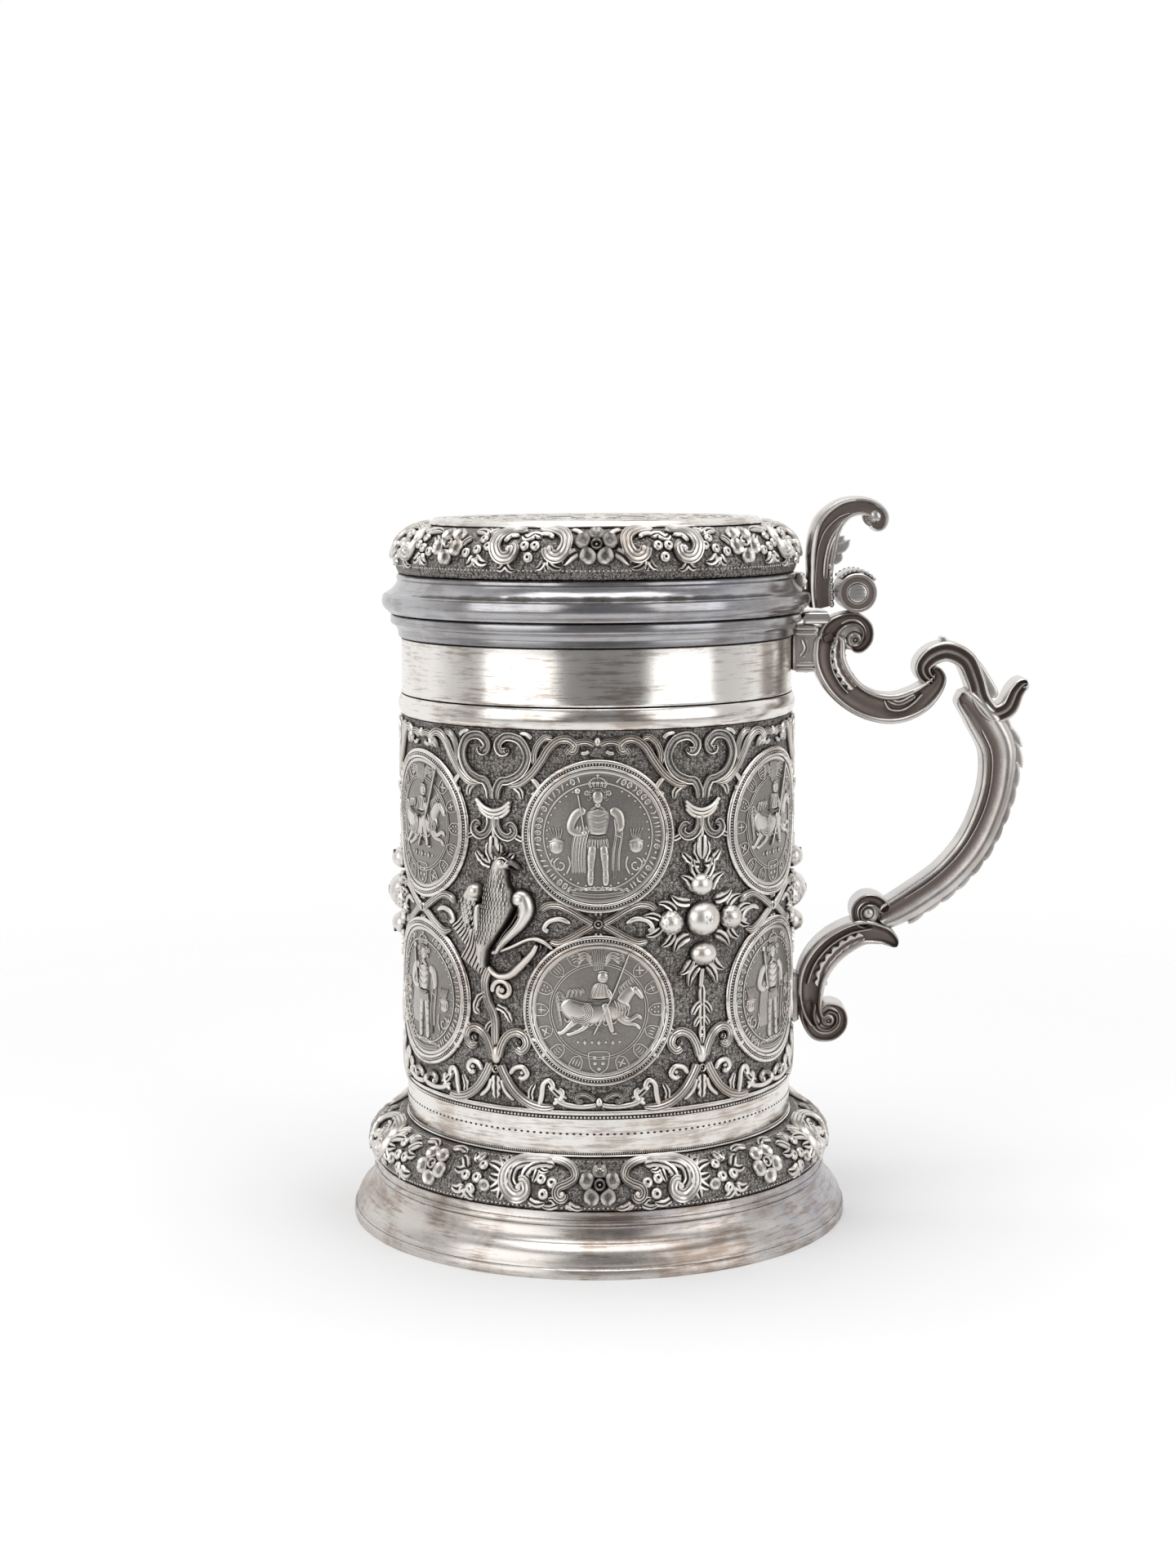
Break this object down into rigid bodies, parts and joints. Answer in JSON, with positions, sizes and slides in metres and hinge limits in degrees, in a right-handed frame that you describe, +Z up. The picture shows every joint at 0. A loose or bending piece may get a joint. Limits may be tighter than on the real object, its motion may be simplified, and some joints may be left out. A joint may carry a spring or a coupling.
{
  "type": "lidded tankard",
  "caption": "Cylindrical lidded tankard with a spreading foot, rows of inset coins, a scrolled handle and a hinged lid with a thumbpiece.",
  "frame": {"origin": "on the drum's axis in the plane that the tankard stands on, which is the centre of the base plate's underside", "axes": "+Z up along the drum's axis, +X towards the handle, -Y is the front with the handle on the viewer's right"},
  "size_m": [0.2119, 0.155, 0.2235],
  "materials": {
    "bright_silver": "polished silver with light tarnish",
    "chased_silver": "chased silver, bright on the relief and oxidised in the ground",
    "coin_silver": "worn struck silver, oxidised in the low parts",
    "cast_silver": "cast silver, dark in the hollows and rubbed bright on the edges"
  },
  "bodies": {
    "vessel": {"foot_rim": "bright_silver", "base_plate": "bright_silver", "foot_band": "chased_silver", "drum_shell": "chased_silver", "drum_bottom": "bright_silver", "moulding_ring": "bright_silver", "neck_band": "bright_silver", "lip_ring": "bright_silver", "bezel_upper_1": "chased_silver", "coin_upper_1": "coin_silver", "bezel_upper_2": "chased_silver", "coin_upper_2": "coin_silver", "bezel_upper_3": "chased_silver", "coin_upper_3": "coin_silver", "bezel_upper_4": "chased_silver", "coin_upper_4": "coin_silver", "bezel_upper_5": "chased_silver", "coin_upper_5": "coin_silver", "bezel_upper_6": "chased_silver", "coin_upper_6": "coin_silver", "bezel_lower_1": "chased_silver", "coin_lower_1": "coin_silver", "bezel_lower_2": "chased_silver", "coin_lower_2": "coin_silver", "bezel_lower_3": "chased_silver", "coin_lower_3": "coin_silver", "bezel_lower_4": "chased_silver", "coin_lower_4": "coin_silver", "bezel_lower_5": "chased_silver", "coin_lower_5": "coin_silver", "bezel_lower_6": "chased_silver", "coin_lower_6": "coin_silver", "fruit_cluster_1": "cast_silver", "fruit_cluster_2": "cast_silver", "fruit_cluster_3": "cast_silver", "fruit_cluster_4": "cast_silver", "bird_1": "cast_silver", "bird_2": "cast_silver", "body_knuckle_front": "cast_silver", "body_knuckle_middle": "cast_silver", "body_knuckle_back": "cast_silver", "hinge_pin": "bright_silver", "hinge_bracket": "cast_silver", "handle_block": "cast_silver", "handle_upper_scroll": "cast_silver", "handle_crest_scroll": "cast_silver", "handle_arm": "cast_silver", "handle_lower_scroll": "cast_silver", "handle_pad": "cast_silver"},
    "lid": {"lid_flange": "bright_silver", "lid_inner_ring": "bright_silver", "lid_band": "chased_silver", "lid_top_ring": "bright_silver", "lid_plate": "chased_silver", "lid_strap": "cast_silver", "thumbpiece": "cast_silver", "hinge_guard": "cast_silver", "lid_knuckle_front": "cast_silver", "lid_knuckle_back": "cast_silver"}
  },
  "joints": [
    {"name": "lid_hinge", "type": "hinge", "parent": "vessel", "child": "lid", "pos_m": [0.0798, 0, 0.194], "axis": [0, 1, 0], "range_deg": [0, 100]}
  ]
}
